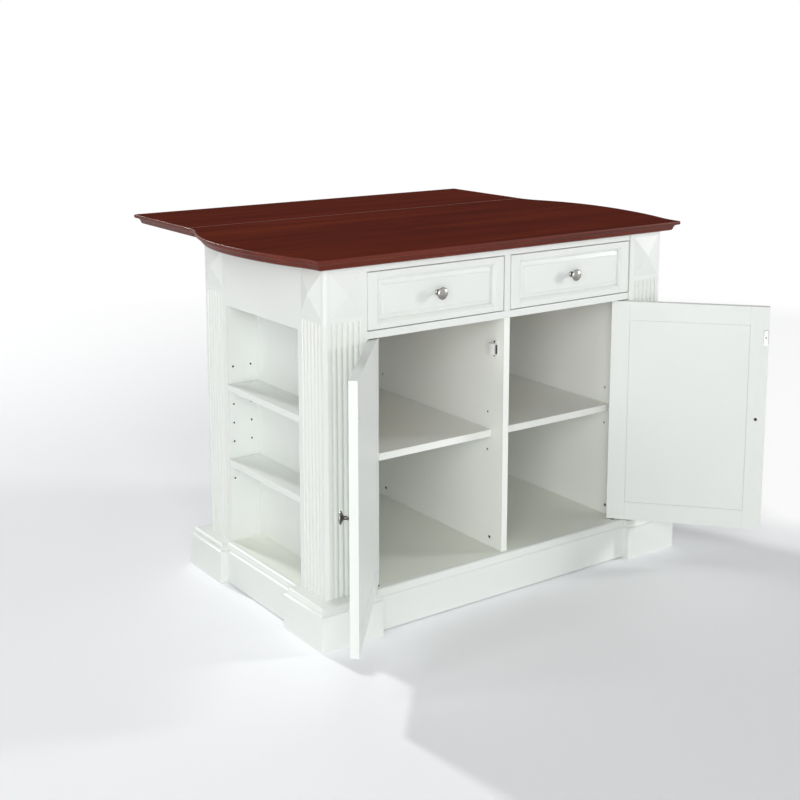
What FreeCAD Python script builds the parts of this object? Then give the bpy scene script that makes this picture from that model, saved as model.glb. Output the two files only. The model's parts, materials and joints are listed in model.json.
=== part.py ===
import FreeCAD, Part
import Sketcher
import math
import os

# Drop leaf kitchen island: a painted cabinet with reeded corner posts, two drawers, two pivoted
# doors and open shelves at both ends, under a bow-sided cherry top with one drop leaf behind.
# Millimetres. +Z is up, -Y is the front with the doors, and the origin is on the floor
# under the middle of the cabinet. The doors stand open and the leaf is raised.

doc = FreeCAD.newDocument("drop_leaf_island")
V = FreeCAD.Vector

# Each row: alias, value, what it is.
DRIVING = [
    ("total_height", 914, "floor to the top's surface"),
    ("top_thickness", 26, "cherry top and leaf"),
    ("edge_inset", 20.5, "how far the moulded edge draws in towards its underside"),
    ("bow_past_leaf", 66, "main top's widest point past the leaf's ends"),
    ("bow_past_front", 56, "main top's widest point past its front corners"),
    ("bow_centre", 30, "y of that widest point"),
    ("bow_back_radius", 520, "bow from the widest point back"),
    ("bow_front_radius", 880, "bow from the widest point forward"),
    ("front_overhang", 32, "main top past the posts in front"),
    ("seam_overhang", 29, "main top past the posts behind, to the seam"),
    ("seam_gap", 1.6, "between main top and leaf"),
    ("leaf_width", 1126, "drop leaf, along the seam"),
    ("leaf_length", 334, "drop leaf, from the seam outward"),
    ("body_width", 1072, "across the posts"),
    ("body_depth", 584, "front to back of the posts"),
    ("post_size", 116, "square post"),
    ("post_round", 10, "radius of the post's outer corner"),
    ("block_height", 128, "plain block at the head of a post"),
    ("reed_pitch", 15, "groove to groove"),
    ("reed_depth", 3.5, "depth of the grooves between reeds"),
    ("pyramid_side_margin", 15, "block edge to pyramid, at the sides"),
    ("pyramid_end_margin", 12, "block edge to pyramid, above and below"),
    ("pyramid_rise", 10, "height of the pyramid off its block"),
    ("floor_top", 104, "upper face of the cabinet floor and of the plinth"),
    ("panel_thickness", 18, "cabinet boards"),
    ("thin_panel", 12, "cabinet back and niche backs"),
    ("back_setback", 6, "cabinet back behind the posts' back faces"),
    ("plinth_board", 21, "plinth boards between the corner blocks"),
    ("block_step", 19, "corner block proud of the plinth boards"),
    ("block_length", 172, "corner block along each side"),
    ("foot_gap", 2.5, "plinth boards clear of the floor"),
    ("cap_height", 18, "moulding along the plinth's upper edge"),
    ("cap_depth", 14, "how far that moulding draws in"),
    ("face_setback", 2, "rails, doors and drawers behind the posts' front faces"),
    ("rail_depth", 40, "rails, front to back"),
    ("top_rail_height", 17, "rail above the drawers"),
    ("drawer_opening", 140, "height of the drawer openings"),
    ("front_thickness", 20, "doors and drawer fronts"),
    ("drawer_gap", 3, "round a drawer front at its sides"),
    ("drawer_gap_vertical", 2, "round a drawer front above and below"),
    ("drawer_stile_width", 32, "upright ends of a drawer front's frame"),
    ("drawer_rail_width", 21, "long rails of a drawer front's frame"),
    ("drawer_bevel", 10, "raised panel's bevel on a drawer"),
    ("drawer_wall", 12, "drawer box sides, back and front"),
    ("drawer_box_height", 110, "drawer box"),
    ("drawer_box_lift", 8, "drawer box above its front's lower edge"),
    ("drawer_box_depth", 480, "drawer box behind its front"),
    ("drawer_bottom", 6, "drawer bottom panel"),
    ("slide_space", 13, "between drawer box and cabinet wall"),
    ("slide_length", 450, "drawer slides"),
    ("slide_height", 36, "drawer slide channel"),
    ("slide_metal", 1.2, "drawer slide channel wall"),
    ("slide_lift", 28.8, "middle of the slide above the box's lower edge"),
    ("slide_lip", 3, "slide channel's open side short of the drawer box"),
    ("rail_back_gap", 1, "drawer's slide rail short of the channel's web"),
    ("running_gap", 0.3, "clearance where pieces slide or turn"),
    ("door_gap", 2.5, "door to the rail above and the floor below"),
    ("door_side_gap", 3.5, "door to the post beside it"),
    ("door_meeting_gap", 1.5, "door to divider"),
    ("door_stile_width", 48, "door stiles"),
    ("door_rail_width", 50, "door rails"),
    ("door_bevel", 28, "raised panel's bevel on a door"),
    ("sticking", 6, "bevel round the inside of a frame"),
    ("tongue", 7, "panel's tongue into its frame"),
    ("groove_setback", 9, "panel groove behind the frame's face"),
    ("groove_width", 6, "panel groove"),
    ("field_setback", 3, "raised field behind the frame's face"),
    ("eased_edge", 1.2, "rounding of a front's outer edge"),
    ("pivot_inset", 19.5, "door pivot from the door's edge"),
    ("pivot_depth", 9, "door pivot behind the door's face"),
    ("pivot_radius", 2.5, "door pivot pin"),
    ("bush_radius", 5.5, "bush in the door's end"),
    ("bush_length", 10, "bush in the door's end"),
    ("pivot_grip", 8, "how far a pivot pin enters the door"),
    ("pivot_plate_length", 26, "pivot plate along the rail"),
    ("pivot_plate_width", 14, "pivot plate, front to back"),
    ("plate_thickness", 1.5, "pivot plates and hinge plates"),
    ("left_door_angle", 130.5, "left door, open as it stands"),
    ("right_door_angle", 132, "right door, open as it stands"),
    ("knob_projection", 26, "knob off the face"),
    ("knob_radius", 15, "knob head"),
    ("knob_screw_radius", 4.5, "recess in a door's back for the knob's screw"),
    ("knob_screw_depth", 3, "recess in a door's back for the knob's screw"),
    ("door_knob_inset", 25, "door knob from the door's free edge"),
    ("side_setback", 42, "side panels behind the posts' front faces"),
    ("niche_depth", 90, "open end shelves, post face to back"),
    ("shelf_setback", 47, "cabinet shelves behind the posts' front faces"),
    ("shelf_clearance", 1.5, "shelf to wall at each end"),
    ("niche_shelf", 16, "niche shelf thickness"),
    ("hole_pitch", 49.6, "shelf holes, one above the other"),
    ("hole_radius", 2.5, "shelf holes and pins"),
    ("hole_depth", 9, "shelf holes in the posts"),
    ("wall_hole_depth", 7.2, "shelf holes in the cabinet's walls"),
    ("support_pin", 6.3, "shelf support pin's length"),
    ("niche_first_hole", 272, "lowest niche shelf hole above the floor"),
    ("niche_hole_front", 17, "front niche holes from the post's side face"),
    ("niche_hole_back", 68, "back niche holes from the post's side face"),
    ("cabinet_first_hole", 361, "lowest cabinet shelf hole above the floor"),
    ("cabinet_hole_front", 63, "front cabinet holes behind the posts' faces"),
    ("cabinet_hole_back", 532, "back cabinet holes behind the posts' faces"),
    ("bolt_front", 51, "front joint bolts behind the posts' faces"),
    ("bolt_back", 517, "back joint bolts behind the posts' faces"),
    ("bolt_height", 25, "joint bolts above the cabinet floor"),
    ("bolt_radius", 4, "recesses over the joint bolts"),
    ("bolt_depth", 4, "recesses over the joint bolts"),
    ("support_drop", 12, "shelf hole above the shelf's underside"),
    ("support_metal", 1, "shelf support plate"),
    ("support_width", 10, "shelf support along the wall"),
    ("support_ledge", 9, "shelf support under the shelf"),
    ("support_rise", 4, "shelf support plate above its hole"),
    ("pin_slack", 0.1, "shelf support pin in its hole"),
    ("catch_drop", 83, "middle of the magnetic catch below the rail"),
    ("catch_length", 28, "catch case, up and down"),
    ("catch_depth", 26, "catch case, front to back"),
    ("catch_width", 13, "catch case off the divider"),
    ("catch_ear", 7, "screw ears past the case, above and below"),
    ("catch_ear_metal", 2, "screw ears off the divider"),
    ("catch_ear_inset", 4, "screw ears in from the case's front and back"),
    ("catch_gap", 1.5, "catch behind the closed door"),
    ("strike_length", 40, "strike plate, up and down"),
    ("strike_width", 13, "strike plate, across the door"),
    ("strike_inset", 1, "strike plate from the door's free edge"),
    ("strike_metal", 1, "strike plate off the door's back"),
    ("axis_drop", 3.6, "leaf hinge axis below the underside of the top"),
    ("knuckle_radius", 3.3, "leaf hinge knuckles"),
    ("hinge_pin_radius", 1.5, "leaf hinge pins"),
    ("hinge_width", 60, "leaf hinges along the seam"),
    ("hinge_reach", 26, "leaf hinge plates either side of the seam"),
    ("hinge_spacing", 420, "between leaf hinges"),
    ("hinge_barrel_gap", 0.5, "hinge knuckles to the other half's plate"),
    ("outer_knuckle_start", 12.6, "outer knuckles from the hinge's middle"),
    ("middle_knuckle_end", 12, "middle knuckle from the hinge's middle"),
    ("brace_spacing", 600, "between the two leaf braces"),
    ("brace_drop", 80, "brace pivot below the leaf hinge axis"),
    ("brace_setback", 24, "brace pivot in front of the leaf hinge axis"),
    ("brace_reach", 150, "roller from the leaf hinge axis when the leaf is up"),
    ("roller_radius", 5, "brace roller"),
    ("roller_width", 11, "brace roller"),
    ("brace_width", 9, "brace bar"),
    ("brace_thickness", 5, "brace bar"),
    ("brace_eye_radius", 7, "brace round its pivot"),
    ("brace_pin_radius", 3, "brace pivot pin"),
    ("brace_side_gap", 0.4, "brace to the wall plate's ear at each side"),
    ("ear_radius", 8, "wall plate's ears round the pivot"),
    ("wall_plate_width", 32, "brace wall plate"),
    ("wall_plate_rise", 75, "brace wall plate above the brace's pivot"),
    ("wall_plate_drop", 20, "brace wall plate below the brace's pivot"),
    ("wall_plate_metal", 2.5, "brace wall plate and its ears"),
    ("channel_height", 14, "channel under the leaf"),
    ("channel_side_gap", 0.8, "roller to the channel's wall at each side"),
    ("channel_end", 14, "channel past the roller's run at each end"),
]

sheet = doc.addObject("Spreadsheet::Sheet", "Sizes")
for row, (alias, value, meaning) in enumerate(DRIVING, start=1):
    sheet.set("A%d" % row, meaning)
    sheet.set("B%d" % row, str(value))
    sheet.setAlias("B%d" % row, alias)
doc.recompute()


class Size:
    """A length that knows its number and the sheet expression that gives it."""

    def __init__(self, number, text):
        self.number = float(number)
        self.text = text

    def __float__(self):
        return self.number

    def __add__(self, other):
        other = sized(other)
        return Size(self.number + other.number, "(%s + %s)" % (self.text, other.text))

    def __sub__(self, other):
        other = sized(other)
        return Size(self.number - other.number, "(%s - %s)" % (self.text, other.text))

    def __mul__(self, other):
        other = sized(other)
        return Size(self.number * other.number, "(%s * %s)" % (self.text, other.text))

    def __truediv__(self, other):
        other = sized(other)
        return Size(self.number / other.number, "(%s / %s)" % (self.text, other.text))

    def __rsub__(self, other):
        return sized(other) - self

    def __neg__(self):
        return Size(-self.number, "(0 - %s)" % self.text)

    __radd__ = __add__
    __rmul__ = __mul__


def sized(value):
    """A plain number as a Size, or a Size as it is."""
    if isinstance(value, Size):
        return value
    return Size(value, "(%r)" % float(value))


class Sheet:
    """The sheet's cells by name."""

    def __getattr__(self, alias):
        return Size(sheet.get(alias), "Sizes." + alias)


S = Sheet()
nodes = []


# ---------------------------------------------------------------- ways of making pieces

def node(item):
    """Marks an object as a finished piece, written to its own file."""
    nodes.append(item)
    return item


def board(label, x, y, z):
    """A plain board between a pair of limits along each axis."""
    item = doc.addObject("Part::Box", label)
    for side, place, (low, high) in zip(("Length", "Width", "Height"), "xyz", (x, y, z)):
        item.setExpression(side, (sized(high) - low).text)
        item.setExpression("Placement.Base." + place, sized(low).text)
    return item


def cut(label, base, tools):
    """A piece with the tools taken out of it."""
    gather = doc.addObject("Part::Compound", label + "_cuts")
    gather.Links = tools
    item = doc.addObject("Part::Cut", label)
    item.Base = base
    item.Tool = gather
    return item


def mirrored(label, source, normal):
    """The same piece seen in a mirror through the cabinet's middle."""
    item = doc.addObject("Part::Mirroring", label)
    item.Source = source
    item.Normal = normal
    return item


def group(label, members):
    """Alike pieces kept together, each still a solid of its own."""
    item = doc.addObject("Part::Compound", label)
    item.Links = members
    return item


def shaped(label, shape, placement=None):
    """A piece whose shape is worked out here from the sheet's sizes."""
    item = doc.addObject("Part::Feature", label)
    item.Shape = shape
    if placement is not None:
        item.Placement = placement.multiply(item.Placement)
    return item


def inside(pair, wall):
    """A pair of limits drawn in by a wall."""
    return (pair[0] + wall, pair[1] - wall)


def solid_box(x, y, z):
    """A box solid between three pairs of limits."""
    low = V(*[float(pair[0]) for pair in (x, y, z)])
    high = V(*[float(pair[1]) for pair in (x, y, z)])
    return Part.makeBox(high.x - low.x, high.y - low.y, high.z - low.z, low)


def solid_rod(radius, start, end, sides=12):
    """A small bar or bore from one point to another, with flats so that repeats stay light."""
    along = (end - start).normalize()
    across = V(0, 0, 1) if abs(along.z) < 0.5 else V(1, 0, 0)
    step = FreeCAD.Rotation(along, 360.0 / sides)
    arm = across * float(radius)
    corners = []
    for _ in range(sides):
        corners.append(start + arm)
        arm = step.multVec(arm)
    return Part.Face(polygon(corners)).extrude(end - start)


def fused(shapes):
    """One clean solid out of several that touch."""
    whole = shapes[0].multiFuse(shapes[1:]).removeSplitter()
    return whole.Solids[0]


def lofted(wires):
    """A solid whose flat sections are joined by ruled faces."""
    return Part.makeLoft(wires, True, True)


def polygon(points):
    """A closed wire through points, each corner once."""
    corners = [point for index, point in enumerate(points)
               if point.distanceToPoint(points[index - 1]) > 1e-6]
    return Part.makePolygon(corners + corners[:1])


def plane_of(body, role):
    """One of a body's own origin planes."""
    return [part for part in body.Origin.OriginFeatures if part.Role == role][0]


def sketch_on(body, role, name, lift=None):
    """A sketch on one of the body's own planes, lifted off it by a size."""
    sketch = body.newObject("Sketcher::SketchObject", name)
    sketch.AttachmentSupport = [(plane_of(body, role), "")]
    sketch.MapMode = "FlatFace"
    if lift is not None:
        sketch.setExpression("AttachmentOffset.Base.z", sized(lift).text)
    return sketch


def draw(sketch, points):
    """Draws a closed loop. A point is (x, y), or (x, y, (mid_x, mid_y), radius) to start an arc."""
    ends = []
    for index, point in enumerate(points):
        follower = points[(index + 1) % len(points)]
        start = V(float(point[0]), float(point[1]), 0)
        stop = V(float(follower[0]), float(follower[1]), 0)
        if len(point) == 2:
            edge = sketch.addGeometry(Part.LineSegment(start, stop), False)
            ends.append((edge, 1, 2))
            continue
        middle = V(float(point[2][0]), float(point[2][1]), 0)
        turns_left = (middle - start).cross(stop - middle).z > 0
        if turns_left:
            edge = sketch.addGeometry(Part.Arc(start, middle, stop), False)
            ends.append((edge, 1, 2))
        else:
            edge = sketch.addGeometry(Part.Arc(stop, middle, start), False)
            ends.append((edge, 2, 1))
        bind(sketch, Sketcher.Constraint("Radius", edge, float(point[3])), point[3])
    for index, (edge, first, last) in enumerate(ends):
        after, after_first, after_last = ends[(index + 1) % len(ends)]
        sketch.addConstraint(Sketcher.Constraint("Coincident", edge, last, after, after_first))
        x, y = points[index][0], points[index][1]
        bind(sketch, Sketcher.Constraint("DistanceX", -1, 1, edge, first, float(x)), x)
        bind(sketch, Sketcher.Constraint("DistanceY", -1, 1, edge, first, float(y)), y)


def bind(sketch, constraint, size):
    """Adds a constraint and ties it to the sheet."""
    index = sketch.addConstraint(constraint)
    sketch.setExpression("Constraints[%d]" % index, sized(size).text)


def padded(body, sketch, length, midplane=False, reversed_pad=False):
    """Pads a sketch by a size."""
    pad = body.newObject("PartDesign::Pad", sketch.Name + "_pad")
    pad.Profile = sketch
    pad.setExpression("Length", sized(length).text)
    pad.Midplane = midplane
    pad.Reversed = reversed_pad
    return pad


# ---------------------------------------------------------------- places shared by the pieces

half_width = S.body_width / 2
half_depth = S.body_depth / 2
post_inner = half_width - S.post_size
post_back = half_depth - S.post_size
under_top = S.total_height - S.top_thickness
face = -half_depth + S.face_setback
divider_half = S.panel_thickness / 2
wall_inner = post_inner - S.panel_thickness
side_front = -half_depth + S.side_setback
back_outer = half_depth - S.back_setback
back_inner = back_outer - S.thin_panel
drawer_top = under_top - S.top_rail_height
mid_rail_top = drawer_top - S.drawer_opening
mid_rail_bottom = mid_rail_top - S.panel_thickness
plinth_half_width = half_width + S.plinth_board + S.block_step
plinth_half_depth = half_depth + S.plinth_board + S.block_step
seam = half_depth + S.seam_overhang
axis_z = under_top - S.axis_drop


# ---------------------------------------------------------------- cherry top and drop leaf

def edge_levels():
    """The moulded edge as (inset, depth below the surface): lip, cove, fillet and ovolo."""
    inset = float(S.edge_inset)
    thickness = float(S.top_thickness)
    lip_top = [(2.2, 0.0), (0.7, 0.7), (0.0, 2.2)]
    lip_bottom = [(0.0, 7.4), (0.7, 9.0), (2.2, 9.7)]
    cove_end = (12.0, 16.0)
    start = lip_bottom[-1]
    cove = []
    for turn in (30, 60, 90):
        angle = math.radians(turn)
        cove.append((start[0] + (cove_end[0] - start[0]) * math.sin(angle),
                     cove_end[1] - (cove_end[1] - start[1]) * math.cos(angle)))
    fillet = (cove_end[0] + 1.0, cove_end[1] + 1.6)
    ovolo = []
    for turn in (0, 30, 60, 90):
        angle = math.radians(turn)
        ovolo.append((inset - (inset - fillet[0]) * math.cos(angle),
                      fillet[1] + (thickness - fillet[1]) * math.sin(angle)))
    return lip_top + lip_bottom + cove + ovolo


def arc_between(centre, radius, start, stop):
    """An arc about a centre, by the two directions in radians, the short way round."""
    points = [centre + V(math.cos(turn), math.sin(turn), 0) * radius
              for turn in (start, (start + stop) / 2, stop)]
    return Part.Arc(*points).toShape()


def bow_outline(inset, z):
    """The main top's outline drawn in by an inset. The sides are a bow of two radii that a
    concave arc eases into the seam and another into the front corner."""
    widest = float(S.leaf_width) / 2 + float(S.bow_past_leaf)
    centre_y = float(S.bow_centre)
    back_radius = float(S.bow_back_radius)
    front_radius = float(S.bow_front_radius)
    seam_half = float(S.leaf_width) / 2
    front_half = widest - float(S.bow_past_front)
    seam_y = float(seam) - float(S.seam_gap) / 2
    front_y = -float(half_depth) - float(S.front_overhang)
    back_centre = V(widest - back_radius, centre_y, z)
    front_centre = V(widest - front_radius, centre_y, z)

    def easing(bow_centre, bow_radius, corner_x, corner_y):
        """Radius and centre of the concave arc that touches the bow and ends straight."""
        along = corner_x - bow_centre.x
        across = corner_y - bow_centre.y
        radius = (along ** 2 + across ** 2 - bow_radius ** 2) / (2 * (bow_radius - along))
        return radius, V(corner_x + radius, corner_y, z)

    seam_radius, seam_centre = easing(back_centre, back_radius, seam_half, seam_y)
    flare_radius, flare_centre = easing(front_centre, front_radius, front_half, front_y)
    to_seam = math.atan2(seam_centre.y - back_centre.y, seam_centre.x - back_centre.x)
    to_flare = math.atan2(flare_centre.y - front_centre.y, flare_centre.x - front_centre.x)
    flare_start = math.pi - math.asin(inset / (flare_radius + inset))
    right = [
        arc_between(flare_centre, flare_radius + inset, flare_start, to_flare + math.pi),
        arc_between(front_centre, front_radius - inset, to_flare, 0.0),
        arc_between(back_centre, back_radius - inset, 0.0, to_seam),
        arc_between(seam_centre, seam_radius + inset, to_seam + math.pi, math.pi),
    ]
    left = [edge.mirror(V(0, 0, 0), V(1, 0, 0)) for edge in right]
    front_corner = V(flare_centre.x + (flare_radius + inset) * math.cos(flare_start),
                     front_y + inset, z)
    seam_corner = V(seam_half - inset, seam_y, z)
    front_line = Part.makeLine(V(-front_corner.x, front_corner.y, z), front_corner)
    seam_line = Part.makeLine(seam_corner, V(-seam_corner.x, seam_corner.y, z))
    return Part.Wire([front_line] + right + [seam_line] + left[::-1])


def leaf_outline(inset, z):
    """The drop leaf's outline drawn in by an inset on its three free sides."""
    half = float(S.leaf_width) / 2 - inset
    near = float(seam) + float(S.seam_gap) / 2
    far = float(seam) + float(S.leaf_length) - inset
    return polygon([V(-half, near, z), V(half, near, z), V(half, far, z), V(-half, far, z)])


def slab(outline):
    """A slab with the moulded edge, from its outline at each level."""
    surface = float(S.total_height)
    return lofted([outline(inset, surface - depth) for inset, depth in edge_levels()])


node(shaped("main_top", slab(bow_outline)))
node(shaped("drop_leaf", slab(leaf_outline)))


# ---------------------------------------------------------------- reeded posts

def reeded_edge(start, step, outward, middle_size):
    """Corners of one reeded face, walking along step, with the grooves sunk against outward."""
    reeds = 5
    pitch = S.reed_pitch
    depth = S.reed_depth
    radius = (pitch * pitch / 4 + depth * depth) / (2 * depth)
    first = middle_size - pitch * (reeds / 2)
    shoulder = 2.0

    def at(along, sink):
        return (start[0] + along * step[0] - sink * outward[0],
                start[1] + along * step[1] - sink * outward[1])

    corners = [at(first - shoulder, sized(0))]
    for reed in range(reeds):
        place = first + pitch * reed
        x, y = at(place, depth)
        corners.append((x, y, at(place + pitch / 2, sized(0)), radius))
    corners.append(at(first + pitch * reeds, depth))
    corners.append(at(first + pitch * reeds + shoulder, sized(0)))
    return corners


def post(label):
    """The right front post: reeded shaft, plain block and a pyramid on both outer faces."""
    body = doc.addObject("PartDesign::Body", label + "_shaft")
    bend = S.post_round
    easy = bend * (1 - math.sqrt(0.5))
    shaft = sketch_on(body, "XY_Plane", label + "_reeds", S.floor_top)
    front = reeded_edge((post_inner, -half_depth), (1, 0), (0, -1), S.post_size / 2)
    side = reeded_edge((half_width, -half_depth), (0, 1), (1, 0), S.post_size / 2)
    rounded = [(half_width - bend, -half_depth, (half_width - easy, -half_depth + easy), bend),
               (half_width, -half_depth + bend)]
    draw(shaft, [(post_inner, -post_back), (post_inner, -half_depth)] + front + rounded
         + side + [(half_width, -post_back)])
    padded(body, shaft, under_top - S.block_height - S.floor_top)
    head = sketch_on(body, "XY_Plane", label + "_head", under_top - S.block_height)
    draw(head, [(post_inner, -post_back), (post_inner, -half_depth)] + rounded
         + [(half_width, -post_back)])
    padded(body, head, S.block_height)
    doc.recompute()
    low = float(under_top - S.block_height + S.pyramid_end_margin)
    high = float(under_top - S.pyramid_end_margin)
    near = float(post_inner + S.pyramid_side_margin)
    far = float(half_width - S.pyramid_side_margin)
    front_y = -float(half_depth)
    rise = float(S.pyramid_rise)
    base = [V(near, front_y, low), V(far, front_y, low), V(far, front_y, high), V(near, front_y, high)]
    apex = V((near + far) / 2, front_y - rise, (low + high) / 2)
    front_pyramid = pyramid(base, apex)
    corner = V(float(half_width), front_y, 0)
    turned = front_pyramid.mirror(corner, V(1, 1, 0))
    return body.Shape, [front_pyramid, turned]


def pyramid(base, apex):
    """A four-sided pyramid."""
    faces = [Part.Face(polygon(base))]
    for index in range(4):
        faces.append(Part.Face(polygon([base[index], base[(index + 1) % 4], apex])))
    return Part.Solid(Part.Shell(faces))


# Shelf holes are bored as eight-sided holes, so many rows of them in each column.
hole_sides = 8
niche_hole_rows = 7
cabinet_hole_rows = 3


def niche_holes():
    """Shelf holes bored into the right front post's face towards the niche."""
    holes = []
    start_y = -float(post_back)
    for column in (S.niche_hole_front, S.niche_hole_back):
        for row in range(niche_hole_rows):
            centre = V(float(half_width - column), start_y,
                       float(S.niche_first_hole + S.hole_pitch * row))
            end = centre - V(0, float(S.hole_depth), 0)
            holes.append(solid_rod(S.hole_radius, centre, end, hole_sides))
    return holes


post_shape, pyramids = post("post")
whole_post = fused([post_shape] + [item if item.Volume > 0 else item.reversed() for item in pyramids])
right_front_post = node(shaped("right_front_post", whole_post.cut(niche_holes()).Solids[0]))
node(mirrored("left_front_post", right_front_post, V(1, 0, 0)))
right_back_post = node(mirrored("right_back_post", right_front_post, V(0, 1, 0)))
node(mirrored("left_back_post", right_back_post, V(1, 0, 0)))


# ---------------------------------------------------------------- plinth

def cap_levels():
    """The cap moulding as (inset, height), from the plinth's foot to its upper face."""
    top = float(S.floor_top)
    depth = float(S.cap_depth)
    height = float(S.cap_height)
    cove_top = (depth * 0.40, height * 0.50)
    levels = [(0.0, top - height), (depth * 0.10, top - height + 1.0)]
    for turn in (30, 60, 90):
        angle = math.radians(turn)
        levels.append((levels[1][0] + (cove_top[0] - levels[1][0]) * math.sin(angle),
                       top - cove_top[1] - (height - 1.0 - cove_top[1]) * math.cos(angle)))
    round_start = depth * 0.48
    for turn in (0, 30, 60, 90):
        angle = math.radians(turn)
        levels.append((depth - (depth - round_start) * math.cos(angle),
                       top - (cove_top[1] - 0.6) * (1 - math.sin(angle))))
    return levels


def block_section(inset, z):
    """A corner block in plan, an L round the corner whose ends return to the plinth boards."""
    outer_x = float(plinth_half_width) - inset
    outer_y = -(float(plinth_half_depth) - inset)
    board_x = float(half_width + S.plinth_board) - inset
    board_y = -(float(half_depth + S.plinth_board) - inset)
    end_x = float(plinth_half_width - S.block_length)
    end_y = -float(plinth_half_depth - S.block_length)
    inner_x = float(half_width)
    inner_y = -float(half_depth)
    return polygon([
        V(inner_x, inner_y, z), V(end_x, inner_y, z), V(end_x, board_y, z),
        V(end_x + inset, board_y, z), V(end_x + inset, outer_y, z), V(outer_x, outer_y, z),
        V(outer_x, end_y - inset, z), V(board_x, end_y - inset, z), V(board_x, end_y, z),
        V(inner_x, end_y, z)])


def plinth_block():
    """Foot of the block as a straight prism with the moulded cap lofted on it."""
    foot = Part.Face(block_section(0, 0)).extrude(V(0, 0, float(S.floor_top - S.cap_height)))
    levels = cap_levels()
    pieces = [foot]
    for (low_inset, low_z), (high_inset, high_z) in zip(levels, levels[1:]):
        low = block_section(max(low_inset, 0.01), low_z)
        pieces.append(lofted([low, block_section(high_inset, high_z)]))
    return fused(pieces)


right_front_block = node(shaped("right_front_plinth_block", plinth_block()))
node(mirrored("left_front_plinth_block", right_front_block, V(1, 0, 0)))
right_back_block = node(mirrored("right_back_plinth_block", right_front_block, V(0, 1, 0)))
node(mirrored("left_back_plinth_block", right_back_block, V(1, 0, 0)))


def cap_profile(inner, outer_sign, board_face):
    """Section of a plinth board: flat back, moulded outer upper corner."""
    outline = [(inner, S.floor_top), (inner, S.foot_gap), (board_face, S.foot_gap)]
    for inset, z in cap_levels():
        outline.append((board_face - outer_sign * inset, sized(z)))
    return outline


def plinth_run(label, role, inner, board_face, outer_sign, length):
    """A plinth board as its section padded along the side of the cabinet."""
    body = doc.addObject("PartDesign::Body", label)
    section = sketch_on(body, role, label + "_section")
    draw(section, cap_profile(inner, outer_sign, board_face))
    padded(body, section, length, midplane=True)
    return body


front_run = plinth_run("front_run", "YZ_Plane", -half_depth,
                       -(half_depth + S.plinth_board), -1,
                       (plinth_half_width - S.block_length) * 2)
node(group("long_plinth_boards", [front_run, mirrored("back_run", front_run, V(0, 1, 0))]))
side_run = plinth_run("right_run", "XZ_Plane", half_width,
                      half_width + S.plinth_board, 1,
                      (plinth_half_depth - S.block_length) * 2)
node(group("short_plinth_boards", [side_run, mirrored("left_run", side_run, V(1, 0, 0))]))


# ---------------------------------------------------------------- cabinet

def cabinet_holes(x, direction):
    """Shelf holes bored into a cabinet wall at x, in the given direction along X."""
    holes = []
    for column in (S.cabinet_hole_front, S.cabinet_hole_back):
        for row in range(cabinet_hole_rows):
            centre = V(float(x), float(-half_depth + column),
                       float(S.cabinet_first_hole + S.hole_pitch * row))
            end = centre + V(direction * float(S.wall_hole_depth), 0, 0)
            holes.append(solid_rod(S.hole_radius, centre, end, hole_sides))
    return Part.makeCompound(holes)


def bolt_recesses(x, direction):
    """The recesses over the bolts that join the divider to the floor's blocks."""
    recesses = []
    for column in (S.bolt_front, S.bolt_back):
        centre = V(float(x), float(-half_depth + column), float(S.floor_top + S.bolt_height))
        end = centre + V(direction * float(S.bolt_depth), 0, 0)
        recesses.append(solid_rod(S.bolt_radius, centre, end))
    return Part.makeCompound(recesses)


node(board("cabinet_floor", (-half_width, half_width), (-half_depth, half_depth),
           (S.floor_top - S.panel_thickness, S.floor_top)))
node(board("floor_bearer", (-divider_half, divider_half), (-half_depth, half_depth),
           (0, S.floor_top - S.panel_thickness)))
plain_side = board("plain_side_panel", (wall_inner, post_inner), (side_front, back_inner),
                   (S.floor_top, under_top))
right_side = node(cut("right_side_panel", plain_side,
                      [shaped("side_holes", cabinet_holes(wall_inner, 1))]))
node(mirrored("left_side_panel", right_side, V(1, 0, 0)))
node(board("back_panel", (-post_inner, post_inner), (back_inner, back_outer),
           (S.floor_top, under_top)))

divider_body = doc.addObject("PartDesign::Body", "divider_board")
divider_sketch = sketch_on(divider_body, "YZ_Plane", "divider_outline")
draw(divider_sketch, [(face, S.floor_top), (back_inner, S.floor_top), (back_inner, under_top),
                      (face + S.rail_depth, under_top), (face + S.rail_depth, mid_rail_bottom),
                      (face, mid_rail_bottom)])
padded(divider_body, divider_sketch, S.panel_thickness, midplane=True)
node(cut("centre_divider", divider_body,
         [shaped("divider_right_holes", cabinet_holes(divider_half, -1)),
          shaped("divider_left_holes", cabinet_holes(-divider_half, 1)),
          shaped("divider_right_bolts", bolt_recesses(divider_half, -1)),
          shaped("divider_left_bolts", bolt_recesses(-divider_half, 1))]))

rail_y = (face, face + S.rail_depth)
node(board("top_rail", (-post_inner, post_inner), rail_y, (drawer_top, under_top)))
node(board("mid_rail", (-post_inner, post_inner), rail_y, (mid_rail_bottom, mid_rail_top)))
node(board("drawer_stile", (-divider_half, divider_half), rail_y, (mid_rail_top, drawer_top)))

niche_back_x = half_width - S.niche_depth
right_niche_back = board("right_niche_back", (niche_back_x - S.thin_panel, niche_back_x),
                         (-post_back, post_back), (S.floor_top, under_top))
node(group("niche_backs", [right_niche_back,
                           mirrored("left_niche_back", right_niche_back, V(1, 0, 0))]))
right_frieze = board("right_frieze", (half_width - S.panel_thickness, half_width),
                     (-post_back, post_back), (mid_rail_top, under_top))
node(group("niche_friezes", [right_frieze, mirrored("left_frieze", right_frieze, V(1, 0, 0))]))


# ---------------------------------------------------------------- shelves and their supports

# Rows of holes, counted from the lowest as 0, that carry the shelves.
niche_shelf_rows = (5, 1)
cabinet_shelf_row = 1


def shelf_bottom(first_hole, row):
    """Underside of the shelf carried by the supports in one row of holes."""
    return first_hole + S.hole_pitch * row - S.support_drop


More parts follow.
